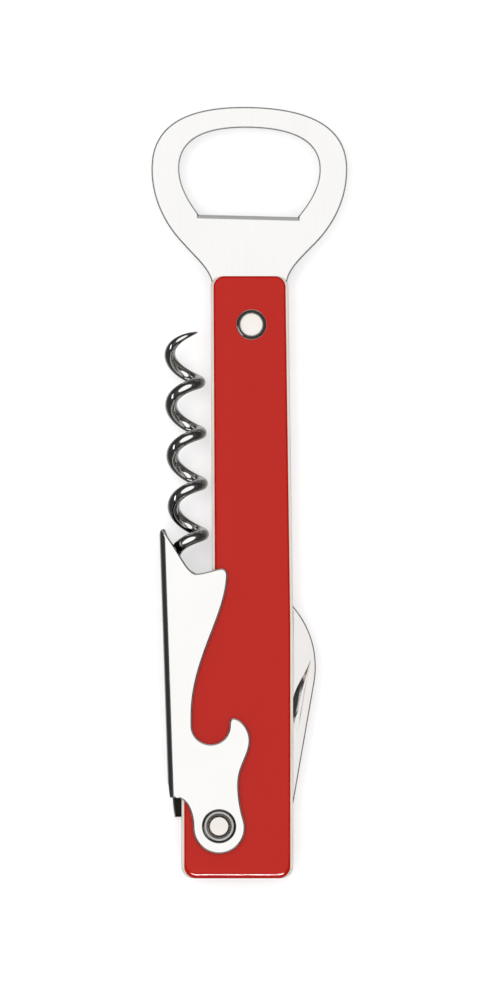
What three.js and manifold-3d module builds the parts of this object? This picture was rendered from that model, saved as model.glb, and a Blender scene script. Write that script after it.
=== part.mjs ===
// A waiter's corkscrew: a flat bottle-opener head, a two-scale handle over steel liners, a folding
// boot lever, a pivoting wire worm and a folding foil knife, all closed as they are in a pocket.
// Millimetres. It lies flat on its back: +X to the right, +Y along the handle towards the opener,
// +Z out of the front face. The origin is the middle of the underside of its bounding box.
// Sizes across the thickness are counted from the mid-plane of the slot between the liners.

import * as THREE from "three";
import { mergeVertices } from "three/addons/utils/BufferGeometryUtils.js";
import Module from "manifold-3d";

const wasm = await Module();
wasm.setup();

// ---- Driving dimensions ----

// Handle scales and liners
const HANDLE_LENGTH = 120.4;
const TOP_WIDTH = 14.4; // across the scales at the opener end
const FOOT_WIDTH = 21.24; // across the scales at the lever end
const RIGHT_FLARE = 1.0; // the right edge moves out this far from the top to the lever end
const WAIST_INSET = 0.3; // the left edge moves in this far from the top to the shoulder
const SHOULDER_HEIGHT = 58.1; // from the foot to where the left edge starts to step out
const SHOULDER_DROP = 8; // length of the step out
const TOP_CORNER = 2.2;
const FOOT_CORNER = 2.4;
const SCALE_THICKNESS = 2.15;
const SCALE_EDGE = 0.5; // bevel round the outer face of each scale
const LINER_THICKNESS = 0.8;
const LINER_MARGIN = 0.55; // a liner stands out past its scale by this much on both sides

// Opener head, measured from the top of the handle
const HEAD_LENGTH = 33.9;
const HEAD_WIDTH = 39.2;
const HEAD_WIDEST = 21.5; // height of the widest part
const HEAD_LEAN = THREE.MathUtils.degToRad(1.4);
const RIM_SIDE = 5.55;
const RIM_TOP = 4.15;
const LIP_HEIGHT = 12.1; // height of the straight lip that lifts the cap
const LIP_WIDTH = 19.8;
const LIP_CHAMFER = 0.85;
const SHANK_LENGTH = 25.6; // down between the liners

// Lever, measured from the middle of its boss
const LEVER_FROM_LEFT = 6.98; // pivot to the left edge of the foot
const LEVER_FROM_FOOT = 10.5;
const LEVER_REACH = 59.6; // middle of the boss to the tip of the spike
const LEVER_SHEET = 1.1;
const LEVER_LEAN = THREE.MathUtils.degToRad(1.9);
const LEVER_BEND = 1.3; // outer radius of the fold between a flank and the web
const NOTCH_RADIUS = 3.8; // rests on the bottle's lip
const NOTCH_HEIGHT = 20.4;
const BOSS_RADIUS = 5.15;
const BOSS_DROP = 0.3; // the boss's middle is this far below the pivot
const FAR_FLANK_FOOT = 1.94; // the far flank reaches down to this height
const LEVER_SIDE_GAP = 0.2; // between a flank and the scale under it
const LEVER_RIVET_RADIUS = 1.95;
const LEVER_WASHER_RADIUS = 3.45;
const LEVER_WASHER_THICKNESS = 0.7;
const RIVET_PROUD = 0.15; // the rivet's ends stand past the washers
const BUSH_RADIUS = 2.7;

// Worm, measured from its pin
const WORM_FROM_LEFT = 3.04; // pin to the left edge of the foot
const WORM_FROM_FOOT = 48.4;
const WORM_DIAMETER = 8.2;
const WORM_WIRE = 2.4;
const WORM_PITCH = 10.15;
const WORM_LEAN = THREE.MathUtils.degToRad(1.37);
const WORM_START = 5.45; // the first turn starts this far above the pin
const WORM_TIP_DROP = 11.33; // the point ends this far below the top of the handle
const COIL_SLANT = 0.1; // each turn is askew: this much higher on the left than on the right
const COIL_TILT = 0.39; // and this much higher at the front than at the back
const WORM_TAPER_TURNS = 0.62; // the wire narrows to a point over the last part of a turn
const WORM_POINT_RADIUS = 0.12;
const COIL_GAP = 0.35; // between the coil and the liner beside it
const WEB_GAP = 0.7; // between the coil and the lever's web

// Knife, measured from its pin
const KNIFE_FROM_RIGHT = 5.1; // pin to the right edge of the foot
const KNIFE_FROM_FOOT = 9.2;
const BLADE_LENGTH = 46.8; // pin to point
const BLADE_WIDTH = 8.67;
const BLADE_THICKNESS = 1.3;
const BLADE_NOSE_RADIUS = 18.4;
const TANG_RADIUS = 4.63;
const KNIFE_LEAN = THREE.MathUtils.degToRad(9.9);
const NICK_DEPTH = 0.3;
const KNIFE_WASHER_RADIUS = 3.6;

// Back spring
const HUMP_OUT = 0.45; // the hump stands past the liners, towards the worm
const HUMP_LENGTH = 18;
const SPRING_WIDTH = 8.4; // beside the hump
const SPRING_ARM = 1.2; // width of the arm beside the tang

// Pins and rivets
const PIN_RADIUS = 1.5;
const HEAD_RIVET_FROM_TOP = 9.7;
const HEAD_RIVET_OFF = 0.4; // to the right of the middle
const HEAD_RIVET_RADIUS = 3;
const HEAD_RIVET_HEIGHT = 0.9;
const SHANK_PIN_FROM_END = 4.8;
const SHANK_PIN_OFF = 0.2;
const SPRING_PIN_INSET = 8.5; // from the ends of the wide part of the spring

// Clearances
const FIT = 0.05; // round a pin, a shaft or a wire that turns
const EYE_FLAT = 0.1; // the wire is pressed this much thinner round the eye
const SLACK = 0.15; // between pieces that pass each other in the slot

// ---- Places worked out from them ----

const FOOT_Y = -(HANDLE_LENGTH + HEAD_LENGTH) / 2;
const TOP_Y = FOOT_Y + HANDLE_LENGTH;
const RIGHT_TOP = TOP_WIDTH / 2;
const RIGHT_FOOT = RIGHT_TOP + RIGHT_FLARE;
const LEFT_TOP = -TOP_WIDTH / 2;
const LEFT_WAIST = LEFT_TOP + WAIST_INSET;
const LEFT_FOOT = RIGHT_FOOT - FOOT_WIDTH;
const SHOULDER_Y = FOOT_Y + SHOULDER_HEIGHT;

const SLOT = WORM_WIRE + 2 * FIT; // gap between the liners
const EYE_WIRE = WORM_WIRE - EYE_FLAT;
const HALF_SLOT = SLOT / 2;
const LINER_FACE = HALF_SLOT + LINER_THICKNESS;
const SCALE_FACE = LINER_FACE + SCALE_THICKNESS;
const FLANK_INNER = Math.max(SCALE_FACE, WORM_DIAMETER / 2) + LEVER_SIDE_GAP;
const FLANK_OUTER = FLANK_INNER + LEVER_SHEET;
const WASHER_INNER = FLANK_OUTER + FIT;
const WASHER_OUTER = WASHER_INNER + LEVER_WASHER_THICKNESS;
const HALF_THICKNESS = WASHER_OUTER + RIVET_PROUD;

const leverPivot = new THREE.Vector2(LEFT_FOOT + LEVER_FROM_LEFT, FOOT_Y + LEVER_FROM_FOOT);
const wormPin = new THREE.Vector2(LEFT_FOOT + WORM_FROM_LEFT, FOOT_Y + WORM_FROM_FOOT);
const knifePivot = new THREE.Vector2(RIGHT_FOOT - KNIFE_FROM_RIGHT, FOOT_Y + KNIFE_FROM_FOOT);
const headRivet = new THREE.Vector2(HEAD_RIVET_OFF, TOP_Y - HEAD_RIVET_FROM_TOP);
const SHANK_END = TOP_Y - SHANK_LENGTH;
const shankPin = new THREE.Vector2(SHANK_PIN_OFF, SHANK_END + SHANK_PIN_FROM_END);
const SPRING_TOP = SHANK_END - SLACK;
const SPRING_WAIST = SHOULDER_Y + 2;
const SPRING_MIDDLE = LEFT_WAIST + SPRING_WIDTH / 2;
const upperSpringPin = new THREE.Vector2(SPRING_MIDDLE, SPRING_TOP - SPRING_PIN_INSET);
const lowerSpringPin = new THREE.Vector2(SPRING_MIDDLE, SPRING_WAIST + SPRING_PIN_INSET);

// The worm's axis passes the shoulder this far to the left, beside the liner.
const WORM_AXIS_X = LEFT_WAIST - LINER_MARGIN - COIL_GAP - WORM_DIAMETER / 2;
const WORM_AXIS_OFFSET =
  (WORM_AXIS_X - wormPin.x) * Math.cos(WORM_LEAN) +
  (SHOULDER_Y - wormPin.y) * Math.sin(WORM_LEAN);
const COIL_RADIUS = (WORM_DIAMETER - WORM_WIRE) / 2;
const EYE_RADIUS = PIN_RADIUS + FIT + EYE_WIRE / 2;
const WORM_TIP = TOP_Y - WORM_TIP_DROP - wormPin.y;

// ---- Materials ----

function metal(color, roughness) {
  return new THREE.MeshStandardMaterial({ color, roughness, metalness: 1 });
}

const bladeSteel = metal(0xd8d8d6, 0.28);
const plateSteel = metal(0xcfcfcc, 0.3);
const linerSteel = metal(0xcac7bd, 0.4);
const brightSteel = metal(0xdadada, 0.12);
const redScale = new THREE.MeshStandardMaterial({ color: 0xbf3228, roughness: 0.22, metalness: 0 });

// ---- Shapes and solids ----

const CURVE_STEPS = 8; // to each curved stretch of an outline
const ROUND_SIDES = 24;
const CORNER_STEP = Math.PI / 12;

// A closed outline whose corners are [x, y, radius]; a radius of 0 is a sharp corner.
function roundedShape(corners) {
  const points = [];
  const at = (i) => new THREE.Vector2(...corners[(i + corners.length) % corners.length]);
  corners.forEach(([, , radius], i) => {
    const here = at(i);
    if (radius === 0) {
      points.push(here);
      return;
    }
    const back = at(i - 1).sub(here).normalize();
    const ahead = at(i + 1).sub(here).normalize();
    const half = Math.acos(THREE.MathUtils.clamp(back.dot(ahead), -1, 1)) / 2;
    const middle = back.clone().add(ahead).normalize();
    const centre = here.clone().addScaledVector(middle, radius / Math.sin(half));
    const first = here.clone().addScaledVector(back, radius / Math.tan(half));
    const turn = (Math.PI - 2 * half) * Math.sign(ahead.cross(back));
    const steps = Math.ceil(Math.abs(turn) / CORNER_STEP);
    for (let k = 0; k <= steps; k++) {
      points.push(first.clone().rotateAround(centre, (turn * k) / steps));
    }
  });
  return new THREE.Shape(points);
}

// A plate between two heights, cut from a shape.
function plate(shape, low, high) {
  const options = { depth: high - low, bevelEnabled: false, curveSegments: CURVE_STEPS };
  return new THREE.ExtrudeGeometry(shape, options).translate(0, 0, low);
}

// A round bar along Z between two heights.
function bar(radius, low, high, centre = new THREE.Vector2()) {
  const geometry = new THREE.CylinderGeometry(radius, radius, high - low, ROUND_SIDES);
  return geometry.rotateX(Math.PI / 2).translate(centre.x, centre.y, (low + high) / 2);
}

// A solid turned about Z from a profile of [radius, height] pairs.
function turned(profile) {
  const points = profile.map(([radius, height]) => new THREE.Vector2(radius, height));
  return new THREE.LatheGeometry(points, ROUND_SIDES).rotateX(Math.PI / 2);
}

function solid(geometry) {
  const bare = geometry.clone();
  bare.deleteAttribute("normal");
  bare.deleteAttribute("uv");
  const merged = mergeVertices(bare, 1e-4);
  const vertProperties = merged.attributes.position.array;
  const triVerts = new Uint32Array(merged.index.array);
  return new wasm.Manifold(new wasm.Mesh({ numProp: 3, vertProperties, triVerts }));
}

function piece(name, body, material) {
  const { vertProperties, triVerts } = body.getMesh();
  const geometry = new THREE.BufferGeometry();
  geometry.setAttribute("position", new THREE.BufferAttribute(vertProperties, 3));
  geometry.setIndex(new THREE.BufferAttribute(triVerts, 1));
  geometry.computeVertexNormals();
  const mesh = new THREE.Mesh(geometry, material);
  mesh.name = name;
  return mesh;
}

// Cuts a running hole for a pin of the given radius at each centre.
function drill(body, radius, centres) {
  const far = 2 * HALF_THICKNESS;
  return centres.reduce(
    (left, centre) => left.subtract(solid(bar(radius + FIT, -far, far, centre))),
    body,
  );
}

// ---- Handle ----

// The handle's outline, moved out by a margin on its two long sides.
function handleShape(margin) {
  return roundedShape([
    [LEFT_TOP - margin, TOP_Y, TOP_CORNER],
    [LEFT_WAIST - margin, SHOULDER_Y, 3],
    [LEFT_FOOT - margin, SHOULDER_Y - SHOULDER_DROP, 4],
    [LEFT_FOOT - margin, FOOT_Y, FOOT_CORNER],
    [RIGHT_FOOT + margin, FOOT_Y, FOOT_CORNER],
    [RIGHT_FOOT + margin, SHOULDER_Y - SHOULDER_DROP, 0],
    [RIGHT_TOP + margin, TOP_Y, TOP_CORNER],
  ]);
}

// Both scales come from one block with bevelled outer edges.
function scale(name, low, high) {
  const block = new THREE.ExtrudeGeometry(handleShape(0), {
    depth: 2 * (SCALE_FACE - SCALE_EDGE),
    bevelThickness: SCALE_EDGE,
    bevelSize: SCALE_EDGE,
    bevelOffset: -SCALE_EDGE,
    bevelSegments: 3,
  }).translate(0, 0, -(SCALE_FACE - SCALE_EDGE));
  const slab = new THREE.BoxGeometry(2 * FOOT_WIDTH, 2 * HANDLE_LENGTH, high - low);
  slab.translate(0, 0, (low + high) / 2);
  let body = solid(block).intersect(solid(slab));
  body = drill(body, PIN_RADIUS, [headRivet]);
  body = drill(body, LEVER_RIVET_RADIUS, [leverPivot]);
  return piece(name, body, redScale);
}

function liner(name, low, high) {
  let body = solid(plate(handleShape(LINER_MARGIN), low, high));
  const pins = [headRivet, shankPin, upperSpringPin, lowerSpringPin, wormPin, knifePivot];
  body = drill(body, PIN_RADIUS, pins);
  body = drill(body, LEVER_RIVET_RADIUS, [leverPivot]);
  return piece(name, body, linerSteel);
}

// A plain pin from the outer face of one liner to the outer face of the other.
function linerPin(name, centre) {
  return piece(name, solid(bar(PIN_RADIUS, -LINER_FACE, LINER_FACE, centre)), brightSteel);
}

function domedRivet() {
  const dome = 6;
  const profile = [[0, -SCALE_FACE - HEAD_RIVET_HEIGHT]];
  for (let i = 1; i <= dome; i++) {
    const turn = (i / dome) * (Math.PI / 2);
    profile.push([
      HEAD_RIVET_RADIUS * Math.sin(turn),
      -SCALE_FACE - HEAD_RIVET_HEIGHT * Math.cos(turn),
    ]);
  }
  profile[dome][1] = -SCALE_FACE;
  profile.push([PIN_RADIUS, -SCALE_FACE], [PIN_RADIUS, SCALE_FACE]);
  const upper = profile.slice(0, dome + 1).map(([radius, height]) => [radius, -height]);
  const body = solid(turned([...profile, ...upper.reverse()]).translate(headRivet.x, headRivet.y, 0));
  return piece("head_rivet", body, brightSteel);
}

// ---- Opener plate ----

// Adds half of an outline: Bezier stretches as [c1x, c1y, c2x, c2y, x, y] from the current point.
function addStretches(shape, stretches) {
  stretches.forEach((s) => shape.bezierCurveTo(...s));
}

// Places a point of the head, which leans about the middle of its ring.
function headPoint(x, y) {
  const point = new THREE.Vector2(x, TOP_Y + y);
  const middle = new THREE.Vector2(0, TOP_Y + HEAD_WIDEST);
  return point.rotateAround(middle, -HEAD_LEAN).toArray();
}

// One side of the head from the neck to the top, or from the top to the neck on the other side.
function headSide(side, upwards) {
  const w = (side * HEAD_WIDTH) / 2;
  const neck = side * (RIGHT_TOP + LINER_MARGIN / 2);
  const nodes = [
    [neck, TOP_Y - 2],
    [neck, TOP_Y + 1],
    headPoint(0.53 * w, 3.4),
    headPoint(0.66 * w, 6.2),
    headPoint(0.82 * w, 9.3),
    headPoint(w, HEAD_WIDEST - 7),
    headPoint(w, HEAD_WIDEST),
    headPoint(w, HEAD_WIDEST + 8.6),
    headPoint(0.64 * w, HEAD_LENGTH),
    headPoint(0, HEAD_LENGTH),
  ];
  if (!upwards) nodes.reverse();
  return [1, 4, 7].map((i) => nodes.slice(i, i + 3).flat());
}

function openerOpening() {
  const w = HEAD_WIDTH / 2 - RIM_SIDE;
  const top = HEAD_LENGTH - RIM_TOP;
  const lip = LIP_WIDTH / 2;
  const half = (side) => [
    headPoint(side * lip, LIP_HEIGHT),
    headPoint(side * (lip + 1.9), LIP_HEIGHT + 2.4),
    headPoint(side * w, HEAD_WIDEST - 3.7),
    headPoint(side * w, HEAD_WIDEST),
    headPoint(side * w, HEAD_WIDEST + 5.7),
    headPoint(side * 0.64 * w, top),
    headPoint(0, top),
  ];
  const up = half(1);
  const down = half(-1).reverse();
  const shape = new THREE.Shape().moveTo(...up[0]);
  addStretches(shape, [1, 4].map((i) => up.slice(i, i + 3).flat()));
  addStretches(shape, [1, 4].map((i) => down.slice(i, i + 3).flat()));
  shape.closePath();
  return shape;
}

function openerPlate() {
  const shankHalf = RIGHT_TOP - WAIST_INSET;
  const shape = new THREE.Shape();
  shape.moveTo(-shankHalf, SHANK_END);
  shape.lineTo(shankHalf, SHANK_END);
  shape.lineTo(RIGHT_TOP + LINER_MARGIN / 2, TOP_Y - 2);
  addStretches(shape, headSide(1, true));
  addStretches(shape, headSide(-1, false));
  shape.closePath();
  let body = solid(plate(shape, -HALF_SLOT, HALF_SLOT));
  body = body.subtract(solid(plate(openerOpening(), -SLOT, SLOT)));
  const chamferSide = LIP_CHAMFER * Math.SQRT2;
  const [lipX, lipY] = headPoint(0, LIP_HEIGHT);
  const chamfer = new THREE.BoxGeometry(LIP_WIDTH, chamferSide, chamferSide)
    .rotateX(Math.PI / 4)
    .rotateZ(-HEAD_LEAN)
    .translate(lipX, lipY, HALF_SLOT);
  body = body.subtract(solid(chamfer));
  body = drill(body, PIN_RADIUS, [headRivet, shankPin]);
  return piece("opener_plate", body, plateSteel);
}

// ---- Back spring ----

// A strip below the shank with a hump beside the worm, a face that presses on the worm's eye, and
// a long arm that presses on the knife's tang.
function backSpring() {
  const left = LEFT_WAIST;
  const right = left + SPRING_WIDTH;
  const humpLeft = LEFT_WAIST - LINER_MARGIN - HUMP_OUT;
  const eyeReach = EYE_RADIUS + EYE_WIRE / 2;
  const eyeFace = wormPin.x + eyeReach + SLACK;
  const armRight = knifePivot.x - TANG_RADIUS - SLACK;
  const armLeft = armRight - SPRING_ARM;
  const armEnd = knifePivot.y - PIN_RADIUS / 2;
  // Above the tang the arm stays clear of the blade's cutting edge.
  const bladeFoot = knifePivot.y + 2 * TANG_RADIUS;
  const edgeX = knifePivot.x + (TANG_RADIUS - BLADE_WIDTH) / Math.cos(KNIFE_LEAN);
  const besideEdge = edgeX + 2 * TANG_RADIUS * Math.tan(KNIFE_LEAN) - 3 * SLACK;
  const shape = roundedShape([
    [left, SPRING_TOP, 0],
    [humpLeft, SPRING_TOP, 0.3],
    [humpLeft, SPRING_TOP - 0.4 * HUMP_LENGTH, 4],
    [left, SPRING_TOP - HUMP_LENGTH, 4],
    [left, wormPin.y + 2.3 * eyeReach, 2],
    [eyeFace, wormPin.y + eyeReach, 1],
    [eyeFace, wormPin.y - eyeReach, 1],
    [armLeft, bladeFoot + eyeReach, 4],
    [armLeft, armEnd, 0.4],
    [armRight, armEnd, 0.4],
    [armRight, knifePivot.y + PIN_RADIUS, 1],
    [besideEdge, bladeFoot, 3],
    [eyeFace + 0.7 * SPRING_WIDTH, wormPin.y, 8],
    [right, SPRING_WAIST, 2],
    [right, SPRING_TOP, 0],
  ]);
  let body = solid(plate(shape, -HALF_SLOT, HALF_SLOT));
  body = drill(body, PIN_RADIUS, [upperSpringPin, lowerSpringPin]);
  return piece("back_spring", body, plateSteel);
}

// ---- Lever ----

// The left face of the lever at a height above its boss. It leans, and its web stays clear of the
// coil and of the handle's foot.
function leverLeft(height) {
  const lean = Math.tan(LEVER_LEAN);
  const beside = wormPin.y + WORM_START - leverPivot.y + BOSS_DROP;
  const coilLeft = WORM_AXIS_X - WORM_DIAMETER / 2 + (SHOULDER_Y - wormPin.y) * Math.sin(WORM_LEAN);
  const besideCoil = coilLeft - leverPivot.x + beside * lean;
  const besideFoot = -LEVER_FROM_LEFT - LINER_MARGIN + BOSS_RADIUS * lean;
  return Math.min(besideCoil, besideFoot) - WEB_GAP - LEVER_SHEET - height * lean;
}

// Outline of one flank. The near flank is cut away below the web, and the far one runs on down.
function flankShape(far) {
  const shoulder = LEVER_REACH - 9.6;
  const notchX = 0.44 * -NOTCH_RADIUS;
  const notchLeft = notchX - NOTCH_RADIUS;
  const notchRight = notchX + NOTCH_RADIUS;
  const hook = NOTCH_HEIGHT + 1.4;
  const left = leverLeft(LEVER_REACH);
  const shape = new THREE.Shape();
  shape.moveTo(left + 0.25, LEVER_REACH);
  addStretches(shape, [
    // the concave inner side of the spike, the valley and the rounded shoulder
    [0.74 * left, LEVER_REACH - 2.6, 0.58 * left, LEVER_REACH - 8, 0.41 * left, shoulder + 0.7],
    [0.28 * left, shoulder + 0.6, 0.12 * left, shoulder + 1.4, 0.2, shoulder + 1.7],
    [1.2, shoulder + 1.85, 1.75, shoulder + 1.2, 1.6, shoulder],
    // the long waist down to the notch
    [1.2, shoulder - 8, notchLeft, NOTCH_HEIGHT + 13, notchLeft, NOTCH_HEIGHT + 2],
  ]);
  shape.lineTo(notchLeft, NOTCH_HEIGHT);
  shape.absarc(notchX, NOTCH_HEIGHT, NOTCH_RADIUS, Math.PI, 2 * Math.PI, false);
  addStretches(shape, [
    // the hook beside the notch, then the neck above the boss
    [notchRight, hook - 0.6, notchRight + 0.2, hook + 0.2, notchRight + 0.9, hook],
    [notchRight + 2.3, hook - 0.2, notchRight + 4, hook - 2, notchRight + 4, hook - 4.4],
    [notchRight + 4, hook - 7.4, 3.85, 12.4, 3.85, 8.6],
    [3.85, 6, 0.84 * BOSS_RADIUS, 3.5, 0.951 * BOSS_RADIUS, 0.309 * BOSS_RADIUS],
  ]);
  shape.absarc(0, 0, BOSS_RADIUS, 0.1 * Math.PI, Math.PI, true);
  if (far) {
    shape.lineTo(-BOSS_RADIUS - 0.3, FAR_FLANK_FOOT);
    shape.lineTo(leverLeft(FAR_FLANK_FOOT), FAR_FLANK_FOOT);
  } else {
    const foot = THREE.MathUtils.lerp(-BOSS_RADIUS, leverLeft(6), 0.69);
    shape.bezierCurveTo(-BOSS_RADIUS, 2.6, 0.7 * -BOSS_RADIUS + 0.3 * foot, 6, foot, 6);
    shape.lineTo(leverLeft(5.8), 5.8);
  }
  shape.lineTo(leverLeft(LEVER_REACH - 3), LEVER_REACH - 3);
  shape.closePath();
  return shape;
}

// A long bar along the lever, in the section of the channel: its left corners are rounded.
function channelBar(inset, halfDepth, corner, low, high) {
  const left = leverLeft(low) + inset;
  const width = 2 * FOOT_WIDTH;
  const shape = roundedShape([
    [0, -halfDepth, corner],
    [width, -halfDepth, 0],
    [width, halfDepth, 0],
    [0, halfDepth, corner],
  ]);
  const length = (high - low) / Math.cos(LEVER_LEAN);
  return new THREE.ExtrudeGeometry(shape, {
    depth: length,
    bevelEnabled: false,
    curveSegments: 3,
  })
    .rotateX(-Math.PI / 2)
    .rotateZ(LEVER_LEAN)
    .translate(left, low, 0);
}

function lever() {
  const near = solid(plate(flankShape(false), 0, FLANK_OUTER));
  const far = solid(plate(flankShape(true), -FLANK_OUTER, 0));
  const below = -2 * BOSS_RADIUS;
  const above = LEVER_REACH + 5;
  const outside = solid(channelBar(0, FLANK_OUTER, LEVER_BEND, below, above));
  const inside = solid(channelBar(LEVER_SHEET, FLANK_INNER, 0.4, below - 5, above + 5));
  // The web stops where the handle's lower corner swings past it.
  const cornerX = LEVER_FROM_LEFT + LINER_MARGIN - FOOT_CORNER;
  const cornerY = LEVER_FROM_FOOT - FOOT_CORNER;
  const cornerReach = Math.hypot(cornerX, cornerY) + FOOT_CORNER + 2 * SLACK;
  const webX = leverLeft(BOSS_RADIUS) + LEVER_SHEET;
  const webFoot = Math.sqrt(Math.max(0, cornerReach ** 2 - webX ** 2)) + BOSS_DROP;
  const side = 2 * LEVER_REACH;
  const foot = new THREE.BoxGeometry(side, side, 2 * FLANK_INNER);
  foot.translate(0, webFoot - side / 2, 0);
  let body = near.add(far).intersect(outside).subtract(inside.add(solid(foot)));
  body = drill(body, LEVER_RIVET_RADIUS, [new THREE.Vector2(0, BOSS_DROP)]);
  const mesh = piece("lever", body, bladeSteel);
  mesh.position.y = -BOSS_DROP;
  return mesh;
}

function leverRivet() {
  const edge = 0.12;
  const end = HALF_THICKNESS;
  const body = solid(turned([
    [0, -end],
    [LEVER_RIVET_RADIUS - edge, -end],
    [LEVER_RIVET_RADIUS, -end + edge],
    [LEVER_RIVET_RADIUS, end - edge],
    [LEVER_RIVET_RADIUS - edge, end],
    [0, end],
  ]));
  return piece("lever_rivet", body, brightSteel);
}

// A rolled ring: flat underneath, round on top. Its face is on the side given by the sign.
function leverWasher(name, sign) {
  const inner = LEVER_RIVET_RADIUS + FIT;
  const steps = 6;
  const middle = (inner + LEVER_WASHER_RADIUS) / 2;
  const half = (LEVER_WASHER_RADIUS - inner) / 2;
  const profile = [];
  for (let i = 0; i <= steps; i++) {
    const turn = (i / steps) * Math.PI;
    const height = LEVER_WASHER_THICKNESS * Math.sin(turn);
    profile.push([middle + half * Math.cos(turn), i % steps === 0 ? 0 : height]);
  }
  profile.push(profile[0]);
  const ring = turned(profile);
  if (sign < 0) ring.rotateX(Math.PI);
  return piece(name, solid(ring.translate(0, 0, sign * WASHER_INNER)), brightSteel);
}

function leverBush() {
  const body = drill(solid(bar(BUSH_RADIUS, -HALF_SLOT, HALF_SLOT)), LEVER_RIVET_RADIUS, [
    new THREE.Vector2(),
  ]);
  return piece("lever_bush", body, plateSteel);
}

// ---- Worm ----

// A round wire swept through centres, each with its own radius, closed by a cap at both ends.
function sweptWire(centres, radii, sides) {
  const positions = [];
  const index = [];
  const last = centres.length - 1;
  let across = new THREE.Vector3(0, 0, 1);
  centres.forEach((centre, i) => {
    const ahead = centres[Math.min(i + 1, last)];
    const behind = centres[Math.max(i - 1, 0)];
    const along = new THREE.Vector3().subVectors(ahead, behind).normalize();
    across = across.addScaledVector(along, -across.dot(along)).normalize();
    const third = new THREE.Vector3().crossVectors(along, across);
    for (let s = 0; s < sides; s++) {
      const turn = (s / sides) * 2 * Math.PI;
      const point = centre
        .clone()
        .addScaledVector(across, radii[i] * Math.cos(turn))
        .addScaledVector(third, radii[i] * Math.sin(turn));
      positions.push(...point.toArray());
      if (i === last) continue;
      const a = i * sides + s;
      const b = i * sides + ((s + 1) % sides);
      index.push(a, b, b + sides, a, b + sides, a + sides);
    }
  });
  const ends = [centres[0], centres[last]].map((centre) => {
    positions.push(...centre.toArray());
    return positions.length / 3 - 1;
  });
  for (let s = 0; s < sides; s++) {
    const next = (s + 1) % sides;
    index.push(ends[0], next, s);
    index.push(ends[1], last * sides + s, last * sides + next);
  }
  const geometry = new THREE.BufferGeometry();
  geometry.setAttribute("position", new THREE.Float32BufferAttribute(positions, 3));
  geometry.setIndex(index);
  return geometry;
}

// Right-handed: going up, the wire passes the left, then the front, then the right.
function wormWire() {
  const centres = [
    new THREE.Vector3(-EYE_RADIUS, -0.4, 0),
    new THREE.Vector3(-EYE_RADIUS - 0.25, 1.3, 0),
    new THREE.Vector3(-EYE_RADIUS - 0.95, 3.1, 0),
    new THREE.Vector3(WORM_AXIS_OFFSET - COIL_RADIUS + 0.15, WORM_START - 0.6, 0),
  ];
  const radii = centres.map(() => WORM_WIRE / 2);
  const turns = (WORM_TIP - WORM_START) / WORM_PITCH;
  const stepsPerTurn = 18;
  const steps = Math.ceil(turns * stepsPerTurn);
  for (let i = 1; i <= steps; i++) {
    const done = (i / steps) * turns;
    const turn = done * 2 * Math.PI;
    const x = WORM_AXIS_OFFSET - COIL_RADIUS * Math.cos(turn);
    const z = COIL_RADIUS * Math.sin(turn);
    const askew = COIL_SLANT * (WORM_AXIS_OFFSET - x) + COIL_TILT * z;
    centres.push(new THREE.Vector3(x, WORM_START + done * WORM_PITCH + askew, z));
    const left = Math.min(1, (turns - done) / WORM_TAPER_TURNS);
    const full = WORM_WIRE / 2 - WORM_POINT_RADIUS;
    radii.push(WORM_POINT_RADIUS + full * Math.sin((left * Math.PI) / 2));
  }
  return sweptWire(centres, radii, 8);
}

function worm() {
  const profile = [];
  const sides = 12;
  for (let i = 0; i <= sides; i++) {
    const turn = ((i % sides) / sides) * 2 * Math.PI;
    const out = (EYE_WIRE / 2) * Math.cos(turn);
    profile.push([EYE_RADIUS + out, (EYE_WIRE / 2) * Math.sin(turn)]);
  }
  const eye = solid(turned(profile));
  let body = eye.add(solid(wormWire()));
  body = drill(body, PIN_RADIUS, [new THREE.Vector2()]);
  return piece("worm", body, brightSteel);
}

// ---- Knife ----

function bladeShape() {
  const spine = TANG_RADIUS;
  const edge = TANG_RADIUS - BLADE_WIDTH;
  const noseX = spine - BLADE_NOSE_RADIUS;
  const noseTurn = Math.acos((edge - noseX) / BLADE_NOSE_RADIUS);
  const noseY = BLADE_LENGTH - BLADE_NOSE_RADIUS * Math.sin(noseTurn);
  const shape = new THREE.Shape();
  shape.moveTo(spine, 0);
  shape.absarc(noseX, noseY, BLADE_NOSE_RADIUS, 0, noseTurn, false);
  shape.lineTo(edge, 1.65 * TANG_RADIUS);
  shape.lineTo(edge + 0.75, 1.35 * TANG_RADIUS);
  shape.absarc(0, 0, TANG_RADIUS, 0.89 * Math.PI, 2 * Math.PI, false);
  shape.closePath();
  return shape;
}

// The nail nick: straight beside the spine and bowed towards the cutting edge.
function nickShape() {
  const low = 20.9;
  const high = 35.7;
  const straight = TANG_RADIUS - 1.55;
  const bow = straight - 2.4;
  const shape = new THREE.Shape();
  shape.moveTo(straight, low);
  shape.lineTo(straight, high);
  shape.bezierCurveTo(straight - 0.6, high - 4, bow, low + 9, bow + 0.3, low + 5);
  shape.bezierCurveTo(bow + 0.6, low + 2.6, straight - 1, low + 1, straight, low);
  return shape;
}

function knifeBlade() {
  const half = BLADE_THICKNESS / 2;
  let body = solid(plate(bladeShape(), -half, half));
  body = body.subtract(solid(plate(nickShape(), half - NICK_DEPTH, half + 1)));
  body = drill(body, PIN_RADIUS, [new THREE.Vector2()]);
  return piece("knife_blade", body, bladeSteel);
}

function knifeWasher(name, sign) {
  const blade = BLADE_THICKNESS / 2 + FIT;
  const [low, high] = sign > 0 ? [blade, HALF_SLOT] : [-HALF_SLOT, -blade];
  const body = drill(solid(bar(KNIFE_WASHER_RADIUS, low, high, knifePivot)), PIN_RADIUS, [
    knifePivot,
  ]);
  return piece(name, body, plateSteel);
}

// ---- Assembly ----

// A group at a pivot, turned by an angle about Z.
function atPivot(pivot, angle, ...meshes) {
  const group = new THREE.Group();
  group.position.set(pivot.x, pivot.y, 0);
  group.rotation.z = angle;
  group.add(...meshes);
  return group;
}

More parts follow.
